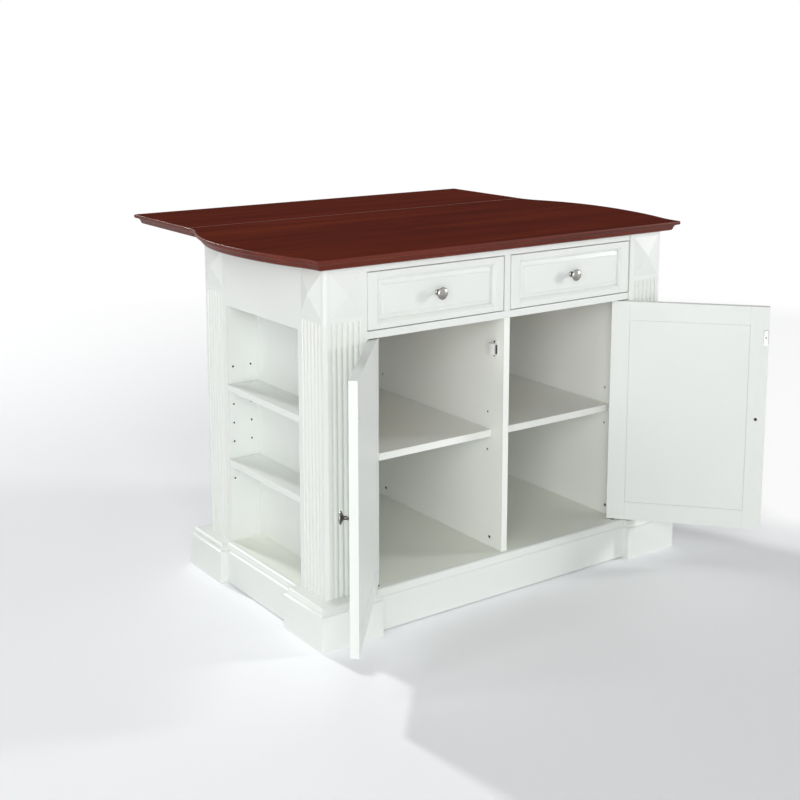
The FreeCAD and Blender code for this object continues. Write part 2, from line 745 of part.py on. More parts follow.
def niche_shelf(label, row):
    """A right-hand niche shelf, flush with the posts' side faces."""
    low = shelf_bottom(S.niche_first_hole, row)
    end = post_back - S.shelf_clearance
    return board(label, (niche_back_x, half_width), (-end, end), (low, low + S.niche_shelf))


right_shelves = [niche_shelf("niche_shelf_%d" % row, row) for row in niche_shelf_rows]
right_niche_shelves = node(group("right_niche_shelves", right_shelves))
node(mirrored("left_niche_shelves", right_niche_shelves, V(1, 0, 0)))

cabinet_shelf_low = shelf_bottom(S.cabinet_first_hole, cabinet_shelf_row)
right_cabinet_shelf = board(
    "right_cabinet_shelf",
    (divider_half + S.shelf_clearance, wall_inner - S.shelf_clearance),
    (-half_depth + S.shelf_setback, back_inner),
    (cabinet_shelf_low, cabinet_shelf_low + S.panel_thickness))
node(group("cabinet_shelves", [right_cabinet_shelf,
                               mirrored("left_cabinet_shelf", right_cabinet_shelf, V(1, 0, 0))]))


def support(hole, into, across):
    """An L-shaped steel shelf support: pin in the hole, plate down the wall, ledge below."""
    plate = float(S.support_metal)
    half = float(S.support_width) / 2
    drop = float(S.support_drop)
    pin = solid_rod(S.hole_radius - S.pin_slack, hole, hole + into * float(S.support_pin),
                    hole_sides)
    out = into * -1

    def block(near, far, low, high):
        corners = [hole + across * side + out * reach + V(0, 0, height)
                   for side, reach, height in ((-half, near, low), (half, far, high))]
        low_x, high_x = sorted((corners[0].x, corners[1].x))
        low_y, high_y = sorted((corners[0].y, corners[1].y))
        return solid_box((low_x, high_x), (low_y, high_y),
                         (hole.z + low, hole.z + high))

    return fused([block(0, plate, -drop - plate, float(S.support_rise)),
                  block(0, float(S.support_ledge), -drop - plate, -drop), pin])


def niche_supports():
    """Four supports under each niche shelf."""
    items = []
    for side in (-1, 1):
        for row in niche_shelf_rows:
            height = float(S.niche_first_hole + S.hole_pitch * row)
            for column in (S.niche_hole_front, S.niche_hole_back):
                for end in (-1, 1):
                    hole = V(side * float(half_width - column), end * float(post_back), height)
                    items.append(support(hole, V(0, end, 0), V(1, 0, 0)))
    return Part.makeCompound(items)


def cabinet_supports():
    """Four supports under each cabinet shelf."""
    items = []
    height = float(S.cabinet_first_hole + S.hole_pitch * cabinet_shelf_row)
    for side in (-1, 1):
        for column in (S.cabinet_hole_front, S.cabinet_hole_back):
            y = float(-half_depth + column)
            items.append(support(V(side * float(wall_inner), y, height), V(side, 0, 0), V(0, 1, 0)))
            items.append(support(V(side * float(divider_half), y, height), V(-side, 0, 0), V(0, 1, 0)))
    return Part.makeCompound(items)


node(shaped("niche_shelf_supports", niche_supports()))
node(shaped("cabinet_shelf_supports", cabinet_supports()))


# ---------------------------------------------------------------- framed and panelled fronts

def standing(x, z, levels):
    """A solid from upright rectangles, each drawn in by an inset and standing at a depth y."""
    wires = []
    for inset, y in levels:
        x0, x1 = float(x[0]) + inset, float(x[1]) - inset
        z0, z1 = float(z[0]) + inset, float(z[1]) - inset
        wires.append(polygon([V(x0, y, z0), V(x1, y, z0), V(x1, y, z1), V(x0, y, z1)]))
    return lofted(wires)


def frame_and_panel(x, z, stile, rail, bevel):
    """A frame with a bevelled inner edge and a groove round it, and the raised panel it holds."""
    front = float(face)
    back = front + float(S.front_thickness)
    stick = float(S.sticking)
    tongue = float(S.tongue)
    eased = float(S.eased_edge)
    groove_front = front + float(S.groove_setback)
    groove_back = groove_front + float(S.groove_width)
    field_front = front + float(S.field_setback)
    field_step = 1.2
    field_draw = 0.6
    stick_step = 0.8
    stick_depth = stick * 0.75
    panel_gap = stick * 0.4
    panel_back = back - 0.5
    past = 1.0
    slack = float(S.running_gap)
    whole = standing(x, z, [(eased, front), (0.0, front + eased), (0.0, back)])
    open_x = inside(x, stile)
    open_z = inside(z, rail)
    mouth = standing(open_x, open_z, [(-stick, front - past), (-stick, front + stick_step),
                                      (0.0, front + stick_depth), (0.0, groove_front)])
    groove = standing(open_x, open_z, [(-tongue, groove_front), (-tongue, groove_back)])
    rear = standing(open_x, open_z, [(0.0, groove_back), (0.0, back + past)])
    frame = whole.cut(fused([mouth, groove, rear])).Solids[0]
    field = panel_gap + float(bevel)
    raised = standing(open_x, open_z, [(field, field_front),
                                       (field - field_draw, field_front + field_step),
                                       (panel_gap, groove_front)])
    flat = standing(open_x, open_z, [(slack, groove_back), (slack, panel_back)])
    return frame, fused([raised, groove, flat])


# ---------------------------------------------------------------- doors

door_x = (divider_half + S.door_meeting_gap, post_inner - S.door_side_gap)
door_z = (S.floor_top + S.door_gap, mid_rail_bottom - S.door_gap)
pivot = V(float(door_x[1] - S.pivot_inset), float(face + S.pivot_depth), 0)
knob_z = float((door_z[0] + door_z[1]) / 2)


def swing(side):
    """How an open door stands, turned about its pivots from the closed place."""
    angle = float(S.right_door_angle) if side > 0 else -float(S.left_door_angle)
    centre = V(side * pivot.x, pivot.y, 0)
    return FreeCAD.Placement(V(0, 0, 0), FreeCAD.Rotation(V(0, 0, 1), angle), centre)


def sided(shape, side):
    """A right-hand shape, or its mirror image for the left."""
    return shape if side > 0 else shape.mirror(V(0, 0, 0), V(1, 0, 0))


def bushes():
    """Bush solids in the door's lower and upper ends, and the bores they sit in."""
    length = float(S.bush_length)
    outer, bores = [], []
    for end, inward in ((float(door_z[0]), 1), (float(door_z[1]), -1)):
        start = V(pivot.x, pivot.y, end)
        stop = start + V(0, 0, inward * length)
        ring = solid_rod(S.bush_radius, start, stop)
        hole = solid_rod(S.pivot_radius + S.running_gap, start, stop)
        outer.append(ring.cut(hole).Solids[0])
        bores.append(ring)
    return outer, bores


def turned_knob():
    """A mushroom knob on the plane y = 0, turned as sixteen flats from its profile."""
    out = float(S.knob_projection)
    head = float(S.knob_radius)
    flats = 16
    profile = [(0.0, 0.50), (0.10, 0.50), (0.16, 0.31), (0.56, 0.29), (0.68, 0.72), (0.78, 1.0),
               (0.86, 0.94), (0.95, 0.62), (1.0, 0.12)]
    rings = []
    for reach, width in profile:
        rings.append([V(head * width * math.cos(turn * math.tau / flats), -out * reach,
                        head * width * math.sin(turn * math.tau / flats))
                      for turn in range(flats)])
    faces = [Part.Face(polygon(rings[0])), Part.Face(polygon(rings[-1]))]
    for near, far in zip(rings, rings[1:]):
        for turn in range(flats):
            after = (turn + 1) % flats
            faces.append(Part.Face(polygon([near[turn], near[after], far[after], far[turn]])))
    solid = Part.Solid(Part.Shell(faces))
    if solid.Volume < 0:
        solid.reverse()
    return solid


knob_shape = turned_knob()


def knob_at(x, z):
    """The knob with its base on the front's face."""
    shape = knob_shape.copy()
    shape.translate(V(float(x), float(face), float(z)))
    return shape


def screw_recess():
    """The recess in the door's back where the knob's screw comes through."""
    back = face + S.front_thickness
    knob_x = float(door_x[0] + S.door_knob_inset)
    return solid_rod(S.knob_screw_radius, V(knob_x, float(back - S.knob_screw_depth), knob_z),
                     V(knob_x, float(back), knob_z))


def catch():
    """The right-hand magnetic catch on the divider: case with screw ears above and below."""
    front = face + S.front_thickness + S.catch_gap
    middle = mid_rail_bottom - S.catch_drop
    case_end = S.catch_length / 2
    ear_end = case_end + S.catch_ear
    case = solid_box((divider_half, divider_half + S.catch_width), (front, front + S.catch_depth),
                     (middle - case_end, middle + case_end))
    ears = solid_box((divider_half, divider_half + S.catch_ear_metal),
                     inside((front, front + S.catch_depth), S.catch_ear_inset),
                     (middle - ear_end, middle + ear_end))
    return fused([case, ears])


def strike():
    """The steel plate on the door's back that meets the catch."""
    back = face + S.front_thickness
    near = door_x[0] + S.strike_inset
    middle = mid_rail_bottom - S.catch_drop
    return solid_box((near, near + S.strike_width), (back, back + S.strike_metal),
                     (middle - S.strike_length / 2, middle + S.strike_length / 2))


def pivot_mounts(side):
    """The cabinet's half of a door's pivots: plate and pin on the floor and under the rail."""
    plate = float(S.plate_thickness)
    half_length = float(S.pivot_plate_length) / 2
    half_across = float(S.pivot_plate_width) / 2
    pin_length = float(S.door_gap + S.pivot_grip)
    items = []
    for level, up in ((float(S.floor_top), 1), (float(mid_rail_bottom), -1)):
        centre = V(side * pivot.x, pivot.y, level)
        low, high = sorted((level, level + up * plate))
        flat = solid_box((centre.x - half_length, centre.x + half_length),
                         (centre.y - half_across, centre.y + half_across), (low, high))
        pin = solid_rod(S.pivot_radius, centre, centre + V(0, 0, up * pin_length))
        items.append(fused([flat, pin]))
    return items


def door(side, name):
    """One door's pieces, each built closed and then turned to where it stands open."""
    frame, panel = frame_and_panel(door_x, door_z, S.door_stile_width, S.door_rail_width,
                                   S.door_bevel)
    rings, bores = bushes()
    frame = frame.cut(bores + [screw_recess()]).Solids[0]
    turned = swing(side)
    knob_x = door_x[0] + S.door_knob_inset
    pieces = [("door_frame", frame), ("door_panel", panel), ("door_knob", knob_at(knob_x, knob_z)),
              ("strike_plate", strike()), ("door_bushes", Part.makeCompound(rings))]
    for part, shape in pieces:
        node(shaped(name + "_" + part, sided(shape, side), turned))


door(-1, "left")
door(1, "right")
node(shaped("door_pivot_mounts", Part.makeCompound(pivot_mounts(-1) + pivot_mounts(1))))
node(shaped("door_catches", Part.makeCompound([sided(catch(), -1), catch()])))


# ---------------------------------------------------------------- drawers

drawer_x = (divider_half + S.drawer_gap, post_inner - S.drawer_gap)
drawer_z = (mid_rail_top + S.drawer_gap_vertical, drawer_top - S.drawer_gap_vertical)
box_x = (divider_half + S.slide_space, wall_inner - S.slide_space)
box_y = (face + S.front_thickness, face + S.front_thickness + S.drawer_box_depth)
box_low = drawer_z[0] + S.drawer_box_lift
box_z = (box_low, box_low + S.drawer_box_height)
bottom_low = box_low + S.drawer_bottom
slide_z = box_low + S.slide_lift
slide_start = face + S.rail_depth
groove_depth = S.drawer_wall / 2
bottom_limits = (inside(box_x, groove_depth), inside(box_y, groove_depth),
                 (bottom_low, bottom_low + S.drawer_bottom))
outer_box = board("drawer_blank", box_x, box_y, box_z)
cavity = board("drawer_cavity", inside(box_x, S.drawer_wall), inside(box_y, S.drawer_wall),
               (box_low - 1, box_z[1] + 1))
right_drawer_box = node(cut("right_drawer_box", outer_box,
                            [cavity, board("drawer_groove", *bottom_limits)]))
right_drawer_bottom = node(board("right_drawer_bottom", *bottom_limits))
node(mirrored("left_drawer_box", right_drawer_box, V(1, 0, 0)))
node(mirrored("left_drawer_bottom", right_drawer_bottom, V(1, 0, 0)))


def drawer_front(side, name):
    """A drawer front of frame and raised panel, glued up as one, and its knob."""
    frame, panel = frame_and_panel(drawer_x, drawer_z, S.drawer_stile_width,
                                   S.drawer_rail_width, S.drawer_bevel)
    node(shaped(name + "_drawer_front", sided(frame, side)))
    node(shaped(name + "_drawer_panel", sided(panel, side)))
    middle = (drawer_x[0] + drawer_x[1]) / 2
    height = (drawer_z[0] + drawer_z[1]) / 2
    shape = knob_shape.copy()
    shape.translate(V(side * float(middle), float(face + S.field_setback), float(height)))
    node(shaped(name + "_drawer_knob", shape))


drawer_front(-1, "left")
drawer_front(1, "right")


def channel(wall_x, inward):
    """A drawer slide's outer channel on a cabinet wall, open towards the drawer."""
    metal = float(S.slide_metal)
    half = float(S.slide_height) / 2
    reach = float(S.slide_space - S.slide_lip)
    start = float(slide_start)
    y = (start, start + float(S.slide_length))
    z = float(slide_z)

    def strip(near, far, low, high):
        limits = sorted((float(wall_x) + inward * near, float(wall_x) + inward * far))
        return solid_box(limits, y, (z + low, z + high))

    return fused([strip(0, metal, -half, half), strip(0, reach, half - metal, half),
                  strip(0, reach, -half, metal - half)])


def runner(box_face, outward):
    """The rail on a drawer's side that runs in the channel."""
    half = float(S.slide_height) / 2 - float(S.slide_metal) - float(S.running_gap)
    reach = float(S.slide_space - S.slide_metal - S.rail_back_gap)
    start = float(slide_start)
    limits = sorted((float(box_face), float(box_face) + outward * reach))
    z = float(slide_z)
    return solid_box(limits, (start, start + float(S.slide_length)), (z - half, z + half))


fixed_channels = [channel(wall_inner, -1), channel(divider_half, 1)]
moving_rails = [runner(box_x[1], 1), runner(box_x[0], -1)]
node(shaped("drawer_channels", Part.makeCompound(
    fixed_channels + [sided(item, -1) for item in fixed_channels])))
node(shaped("right_drawer_runners", Part.makeCompound(moving_rails)))
node(shaped("left_drawer_runners", Part.makeCompound([sided(item, -1) for item in moving_rails])))


# ---------------------------------------------------------------- leaf hinges

axis_y = float(seam)
hinge_axis_z = float(axis_z)
hinge_places = [-float(S.hinge_spacing), 0.0, float(S.hinge_spacing)]


def hinge_half(x, outward, knuckles):
    """Half of a leaf hinge: plate under the wood and the knuckles it carries."""
    half = float(S.hinge_width) / 2
    radius = float(S.knuckle_radius)
    plate = float(S.plate_thickness)
    gap = radius + float(S.hinge_barrel_gap)
    reach = float(S.hinge_reach)
    overlap = 1.0
    top = float(under_top)
    z = (top - plate, top)
    body_y = sorted((axis_y + outward * gap, axis_y + outward * reach))
    shapes = [solid_box((x - half, x + half), body_y, z)]
    bores = []
    for near, far in knuckles:
        tab_y = sorted((axis_y, axis_y + outward * (gap + overlap)))
        shapes.append(solid_box((x + near, x + far), tab_y, z))
        start = V(x + near, axis_y, hinge_axis_z)
        stop = V(x + far, axis_y, hinge_axis_z)
        shapes.append(solid_rod(radius, start, stop))
        bores.append((start, stop))
    return shapes, bores


def fixed_half(x):
    """The half under the main top, whose outer knuckles grip the pin."""
    start = float(S.outer_knuckle_start)
    end = float(S.hinge_width) / 2
    shapes, bores = hinge_half(x, -1, [(-end, -start), (start, end)])
    return fused(shapes).cut([solid_rod(S.hinge_pin_radius, *ends) for ends in bores]).Solids[0]


def moving_half(x):
    """The half under the leaf, whose middle knuckle turns on the pin."""
    end = float(S.middle_knuckle_end)
    shapes, bores = hinge_half(x, 1, [(-end, end)])
    loose = float(S.hinge_pin_radius) + float(S.running_gap)
    return fused(shapes).cut([solid_rod(loose, *ends) for ends in bores]).Solids[0]


def hinge_pin(x):
    """The pin through all three knuckles."""
    half = float(S.hinge_width) / 2
    return solid_rod(S.hinge_pin_radius, V(x - half, axis_y, hinge_axis_z),
                     V(x + half, axis_y, hinge_axis_z))


node(shaped("leaf_hinge_top_plates", Part.makeCompound([fixed_half(x) for x in hinge_places])))
node(shaped("leaf_hinge_leaf_plates", Part.makeCompound([moving_half(x) for x in hinge_places])))
node(shaped("leaf_hinge_pins", Part.makeCompound([hinge_pin(x) for x in hinge_places])))


# ---------------------------------------------------------------- folding leaf supports

brace_y = axis_y - float(S.brace_setback)
brace_z = hinge_axis_z - float(S.brace_drop)
channel_web = float(S.plate_thickness)
roller_z = float(under_top) - channel_web - float(S.running_gap) - float(S.roller_radius)
roller_y = axis_y + float(S.brace_reach)
brace_places = [-float(S.brace_spacing) / 2, float(S.brace_spacing) / 2]


def wall_plate(x):
    """Plate on the cabinet's back with two ears round the brace's foot."""
    back = float(back_outer)
    metal = float(S.wall_plate_metal)
    half = float(S.wall_plate_width) / 2
    ear_gap = float(S.brace_thickness) / 2 + float(S.brace_side_gap)
    tip_radius = float(S.ear_radius)
    plate = solid_box((x - half, x + half), (back, back + metal),
                      (brace_z - S.wall_plate_drop, brace_z + S.wall_plate_rise))
    pin_start = V(x - ear_gap - metal, brace_y, brace_z)
    pin_stop = V(x + ear_gap + metal, brace_y, brace_z)
    ears = []
    for side in (-1, 1):
        limits = sorted((x + side * ear_gap, x + side * (ear_gap + metal)))
        web = solid_box(limits, (back + metal / 2, brace_y),
                        (brace_z - tip_radius, brace_z + tip_radius))
        tip = solid_rod(tip_radius, V(limits[0], brace_y, brace_z), V(limits[1], brace_y, brace_z))
        ears += [web, tip]
    hole = solid_rod(S.brace_pin_radius, pin_start, pin_stop)
    return fused([plate] + ears).cut(hole).Solids[0]


def pivot_pin(x):
    """The pin through the ears and the brace's foot."""
    reach = float(S.brace_thickness / 2 + S.brace_side_gap + S.wall_plate_metal)
    return solid_rod(S.brace_pin_radius, V(x - reach, brace_y, brace_z),
                     V(x + reach, brace_y, brace_z))


def brace(x):
    """A flat bar from the wall pivot up to the roller that runs under the leaf."""
    foot = V(x, brace_y, brace_z)
    head = V(x, roller_y, roller_z)
    along = head - foot
    length = along.Length
    half = float(S.brace_width) / 2
    thick = float(S.brace_thickness)
    bar = Part.makeBox(thick, length, half * 2, V(x - thick / 2, 0, -half))
    slope = math.degrees(math.atan2(along.z, along.y))
    bar.rotate(V(0, 0, 0), V(1, 0, 0), slope)
    bar.translate(V(0, foot.y, foot.z))
    across = V(thick / 2, 0, 0)
    eye = solid_rod(S.brace_eye_radius, foot - across, foot + across)
    reach = V(float(S.roller_width) / 2, 0, 0)
    roller = solid_rod(S.roller_radius, head - reach, head + reach)
    loose = S.brace_pin_radius + S.running_gap
    return fused([bar, eye, roller]).cut(solid_rod(loose, foot - across, foot + across)).Solids[0]


def roller_channel(x):
    """The channel under the leaf, open below, with room for the roller's whole run."""
    height = float(S.channel_height)
    half = float(S.roller_width / 2 + S.channel_side_gap)
    wall = float(S.plate_thickness)
    top = float(under_top)
    drop = hinge_axis_z - roller_z
    arm = math.hypot(roller_y - brace_y, roller_z - brace_z)
    folded = float(S.brace_drop) + math.sqrt(arm ** 2 - (drop - float(S.brace_setback)) ** 2)
    end = float(S.channel_end)
    y = (roller_y - end, axis_y + folded + end)
    shapes = [solid_box((x - half - wall, x + half + wall), y, (top - channel_web, top))]
    for side in (-1, 1):
        limits = sorted((x + side * half, x + side * (half + wall)))
        shapes.append(solid_box(limits, y, (top - height, top)))
    return fused(shapes)


node(shaped("brace_wall_plates", Part.makeCompound([wall_plate(x) for x in brace_places])))
node(shaped("brace_pivot_pins", Part.makeCompound([pivot_pin(x) for x in brace_places])))
node(shaped("leaf_braces", Part.makeCompound([brace(x) for x in brace_places])))
node(shaped("leaf_channels", Part.makeCompound([roller_channel(x) for x in brace_places])))


# ---------------------------------------------------------------- checks and files

doc.recompute()
for item in doc.Objects:
    if "Invalid" in item.State or "Error" in item.State:
        raise RuntimeError("failed object: %s %s" % (item.Label, item.State))
for item in nodes:
    if item.Shape.isNull() or not item.Shape.isValid() or not item.Shape.Solids:
        raise RuntimeError("bad shape: " + item.Label)
    if min(piece.Volume for piece in item.Shape.Solids) <= 0:
        raise RuntimeError("empty or inside-out solid: " + item.Label)

os.makedirs("parts", exist_ok=True)
for item in nodes:
    item.Shape.exportStep("parts/" + item.Label + ".step")
print(len(nodes), "nodes,", sum(len(item.Shape.Solids) for item in nodes), "solids")
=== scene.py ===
import bpy
import json
import math
from mathutils import Matrix, Vector


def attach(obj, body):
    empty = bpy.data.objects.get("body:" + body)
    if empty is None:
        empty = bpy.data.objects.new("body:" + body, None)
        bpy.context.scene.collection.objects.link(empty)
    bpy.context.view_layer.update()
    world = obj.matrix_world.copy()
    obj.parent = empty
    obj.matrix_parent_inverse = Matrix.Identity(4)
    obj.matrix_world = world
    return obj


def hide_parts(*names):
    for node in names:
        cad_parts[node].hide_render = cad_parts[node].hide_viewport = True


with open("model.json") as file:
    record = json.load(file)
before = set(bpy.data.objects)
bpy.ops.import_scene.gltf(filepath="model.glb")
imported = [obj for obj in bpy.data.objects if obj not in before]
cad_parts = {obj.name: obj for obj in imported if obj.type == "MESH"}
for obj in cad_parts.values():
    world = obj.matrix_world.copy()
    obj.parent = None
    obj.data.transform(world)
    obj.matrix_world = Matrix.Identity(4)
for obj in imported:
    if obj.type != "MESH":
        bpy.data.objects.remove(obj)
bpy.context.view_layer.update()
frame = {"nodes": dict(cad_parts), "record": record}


# ------------------------------------------------------------------ studio
# A pale floor that runs out to white, a small lamp behind whose shadow falls forward, a broad
# one low in front that reaches into the cabinet, and weaker ones at the right, at the left and
# high on the left.

looks_down, looks_right = 9.759, 35.445
eye = bpy.data.objects.new("camera", bpy.data.cameras.new("camera"))
bpy.context.scene.collection.objects.link(eye)
eye.location = (-2.0921, -2.7704, 1.3947)
eye.rotation_euler = (math.radians(90 - looks_down), 0, math.radians(-looks_right))
eye.data.sensor_width = 36
eye.data.lens = 59.895
eye.data.shift_y = -0.165
bpy.context.scene.camera = eye
bpy.context.scene.view_settings.view_transform = "Standard"


def lamp(name, bearing, height, distance, size, power):
    """A square soft lamp aimed at the cabinet's middle.

    Bearing is in degrees from +X round towards +Y, and height in degrees above level."""
    light = bpy.data.lights.new(name, "AREA")
    light.size = size
    light.energy = power
    holder = bpy.data.objects.new(name, light)
    bpy.context.scene.collection.objects.link(holder)
    flat = math.cos(math.radians(height))
    away = Vector((math.cos(math.radians(bearing)) * flat, math.sin(math.radians(bearing)) * flat,
                   math.sin(math.radians(height))))
    middle = Vector((0, 0, 0.45))
    holder.location = middle + away * distance
    holder.rotation_mode = "QUATERNION"
    holder.rotation_quaternion = away.to_track_quat("Z", "Y")
    holder.visible_camera = False


lamp("back_lamp", bearing=102.7, height=31, distance=6.5, size=0.5, power=200)
lamp("front_lamp", bearing=-127, height=14, distance=6.0, size=4.0, power=218)
lamp("right_lamp", bearing=-30, height=12, distance=5.0, size=0.7, power=98)
lamp("left_lamp", bearing=-168, height=20, distance=5.0, size=1.0, power=33)
lamp("high_lamp", bearing=170, height=45, distance=5.0, size=1.0, power=16)


class Tap:
    """One value in a material: an output socket, on which arithmetic adds Math nodes."""

    def __init__(self, finish, socket):
        self.finish = finish
        self.socket = socket

    def math(self, operation, *others, swap=False):
        values = [self, *others]
        if swap:
            values.reverse()
        numbered = {str(index): value for index, value in enumerate(values)}
        return self.finish.add("Math", {"operation": operation}, **numbered)

    def __add__(self, other):
        return self.math("ADD", other)

    def __sub__(self, other):
        return self.math("SUBTRACT", other)

    def __rsub__(self, other):
        return self.math("SUBTRACT", other, swap=True)

    def __mul__(self, other):
        return self.math("MULTIPLY", other)

    def __truediv__(self, other):
        return self.math("DIVIDE", other)

    def __gt__(self, other):
        return self.math("GREATER_THAN", other)

    def __lt__(self, other):
        return self.math("LESS_THAN", other)

    def __or__(self, other):
        return self.math("MAXIMUM", other)

    def __abs__(self):
        return self.math("ABSOLUTE")

    __radd__ = __add__
    __rmul__ = __mul__

    def between(self, low, high):
        """0 at low and below, 1 at high and above."""
        return self.finish.add("Map Range", {"clamp": True}, Value=self,
                               From_Min=low, From_Max=high)


class Finish:
    """A material, or the world, built node by node."""

    def __init__(self, name, world=None):
        self.owner = world or bpy.data.materials.new(name)
        self.owner.use_nodes = True
        self.tree = self.owner.node_tree
        self.tree.nodes.clear()
        kind = "World" if world else "Material"
        self.out = self.tree.nodes.new("ShaderNodeOutput" + kind)

    def add(self, kind, settings=None, output=0, **sockets):
        """A node by its type, its settings first and then its sockets' values or links."""
        node = self.tree.nodes.new("ShaderNode" + kind.replace(" ", ""))
        for name, value in (settings or {}).items():
            if name == "stops":
                ramp = node.color_ramp
                while len(ramp.elements) > 1:
                    ramp.elements.remove(ramp.elements[-1])
                ramp.elements[0].position, ramp.elements[0].color = value[0]
                for place, colour in value[1:]:
                    ramp.elements.new(place).color = colour
            else:
                setattr(node, name, value)
        for name, value in sockets.items():
            key = int(name) if name.isdigit() else name.replace("_", " ")
            socket = node.inputs[key]
            if isinstance(value, Tap):
                self.tree.links.new(value.socket, socket)
            else:
                socket.default_value = value
        return Tap(self, node.outputs[output])

    def place(self, scale=(1, 1, 1), shift=(0, 0, 0)):
        """Object coordinates in metres, scaled and shifted."""
        raw = self.add("Tex Coord", output="Object")
        return self.add("Mapping", Vector=raw, Location=shift, Scale=scale)

    def axes(self):
        """Object coordinates in metres as three values."""
        raw = self.add("Tex Coord", output="Object")
        return [self.add("Separate XYZ", output=axis, Vector=raw) for axis in "XYZ"]

    def upward(self):
        """1 where the piece's own surface faces up, 0 where upright, -1 where it faces down."""
        return self.add("Separate XYZ", output="Z", Vector=self.add("Tex Coord", output="Normal"))

    def noise(self, where, scale, detail=3.0, roughness=0.5, distortion=0.0):
        """Noise from 0 to 1."""
        return self.add("Tex Noise", Vector=where, Scale=scale, Detail=detail,
                        Roughness=roughness, Distortion=distortion)

    def blend(self, factor, first, second):
        """A colour between two, by a factor."""
        first, second = [(*colour, 1) if isinstance(colour, tuple) else colour
                         for colour in (first, second)]
        return self.add("Mix", {"data_type": "RGBA"}, output=2,
                        **{"0": factor, "6": first, "7": second})

    def unlit(self):
        """1 for the rays that see the background: straight, mirrored or through glass."""
        rays = [self.add("Light Path", output="Is %s Ray" % kind)
                for kind in ("Camera", "Glossy", "Transmission")]
        return rays[0] | rays[1] | rays[2]

    def wear(self, shader):
        """Sets a shader as the surface."""
        self.tree.links.new(shader.socket, self.out.inputs["Surface"])

    def surface(self, colour, rough, bump=None, strength=0.2, depth=0.0002, **fixed):
        """The Principled shader, with a bump if there is one, set as the material's surface."""
        sockets = {"Base_Color": colour, "Roughness": rough, **fixed}
        if bump is not None:
            sockets["Normal"] = self.add("Bump", Strength=strength, Distance=depth, Height=bump)
        self.wear(self.add("Bsdf Principled", **sockets))
        return self.owner


bpy.ops.object.select_all(action="DESELECT")
bpy.ops.mesh.primitive_plane_add(size=60, location=(0, 0, 0))
ground = bpy.context.object
ground.name = "studio_floor"
floor = Finish("studio_floor")
spot = floor.add("Tex Coord", output="Object")
reach = floor.add("Vector Math", {"operation": "LENGTH"}, output="Value", Vector=spot)
away_from_camera, to_its_right = (0.573, 0.820, 0), (0.820, -0.573, 0)
behind, beside = [floor.add("Vector Math", {"operation": "DOT_PRODUCT"}, output="Value",
                            **{"0": spot, "1": toward})
                  for toward in (away_from_camera, to_its_right)]
# Behind the cabinet on the right, the floor glows white for the camera over the lamps' shadows: a
# patch of painted light. Further out it runs into the white backdrop.
painted_light_patch = reach.between(0.85, 1.1) * behind.between(0.05, 0.28) * beside.between(0.0, 0.6)
backdrop_and_painted_light = reach.between(1.4, 4.0) | painted_light_patch * 0.85
diffuse = floor.add("Bsdf Diffuse", Color=(0.95, 0.96, 0.98, 1))
white = floor.add("Emission", Color=(1, 1, 1, 1), Strength=1.0)
floor.wear(floor.add("Mix Shader", **{"0": backdrop_and_painted_light * floor.unlit(), "1": diffuse, "2": white}))
ground.data.materials.append(floor.owner)

bpy.context.scene.world = bpy.data.worlds.new("studio")
sky = Finish("studio", bpy.context.scene.world)
soft, plain = [sky.add("Background", Color=(1, 1, 1, 1), Strength=strength)
               for strength in (0.17, 1.0)]
sky.wear(sky.add("Mix Shader", **{"0": sky.unlit(), "1": soft, "2": plain}))


# ------------------------------------------------------------------ posts, plinth and boards
# Posts, plinth, rails and end boards of poplar and board, primed and sprayed with a satin
# off-white enamel. The arrises are eased with sandpaper before the paint goes on.

body_of_node = {node: body for body, nodes in frame["record"]["behaviour"]["bodies"].items()
                for node in nodes}


def stands_for(piece, node):
    """The piece takes the CAD node's place and its body, and the node is hidden."""
    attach(piece, body_of_node[node])
    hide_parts(node)


def hold(piece):
    """Selects one piece alone, for what is done next."""
    bpy.ops.object.select_all(action="DESELECT")
    piece.select_set(True)
    bpy.context.view_layer.objects.active = piece


def softened(node, finish, width=0.0007, limit=38, segments=2, crisp_above=math.inf):
    """A copy of a CAD node with its corners eased, which stands for the node.

    Folds of more degrees than the limit are eased. Faces above a level keep every fold sharp."""
    weld, flat_within = 0.00002, 0.4
    piece = bpy.data.objects.new(node + "_made", frame["nodes"][node].data.copy())
    bpy.context.scene.collection.objects.link(piece)
    hold(piece)
    bpy.ops.object.mode_set(mode="EDIT")
    bpy.ops.mesh.select_all(action="SELECT")
    bpy.ops.mesh.remove_doubles(threshold=weld)
    bpy.ops.mesh.dissolve_limited(angle_limit=math.radians(flat_within))
    bpy.ops.object.mode_set(mode="OBJECT")
    easing = piece.modifiers.new("eased", "BEVEL")
    easing.width = width
    easing.segments = segments
    easing.limit_method = "ANGLE"
    easing.angle_limit = math.radians(limit)
    easing.use_clamp_overlap = True
    bpy.ops.object.modifier_apply(modifier="eased")
    bpy.ops.object.shade_smooth_by_angle(angle=math.radians(limit))
    corners = piece.data.vertices
    for edge in piece.data.edges:
        if min(corners[index].co.z for index in edge.vertices) > crisp_above:
            edge.use_edge_sharp = True
    flats = piece.modifiers.new("flats", "WEIGHTED_NORMAL")
    flats.keep_sharp = True
    bpy.ops.object.modifier_apply(modifier="flats")
    piece.data.materials.clear()
    piece.data.materials.append(finish)
    stands_for(piece, node)


def bored(across, up, columns, lowest, pitch, rows, radius):
    """1 inside holes drilled in columns, row over row, where painted shade darkens them."""
    step = (up - lowest) / pitch
    off = abs(step - step.math("ROUND")) * pitch
    inside = (step > -0.5) * (step < rows - 0.5)
    near = None
    for column in columns:
        aside = across - column
        hole = (aside * aside + off * off) < radius * radius
        near = hole if near is None else near | hole
    return near * inside


def sprayed(paint, colour, shade):
    """Satin enamel's tone with a slow drift, its roughness and its faint orange peel."""
    where = paint.place()
    drift = paint.noise(where, 2.6, 2.0)
    peel = paint.noise(where, 420.0, 2.0)
    rub = paint.noise(where, 14.0, 3.0)
    tone = paint.blend(drift.between(0.3, 0.7), colour, shade)
    return tone, rub.between(0.2, 0.8) * 0.10 + 0.36, peel


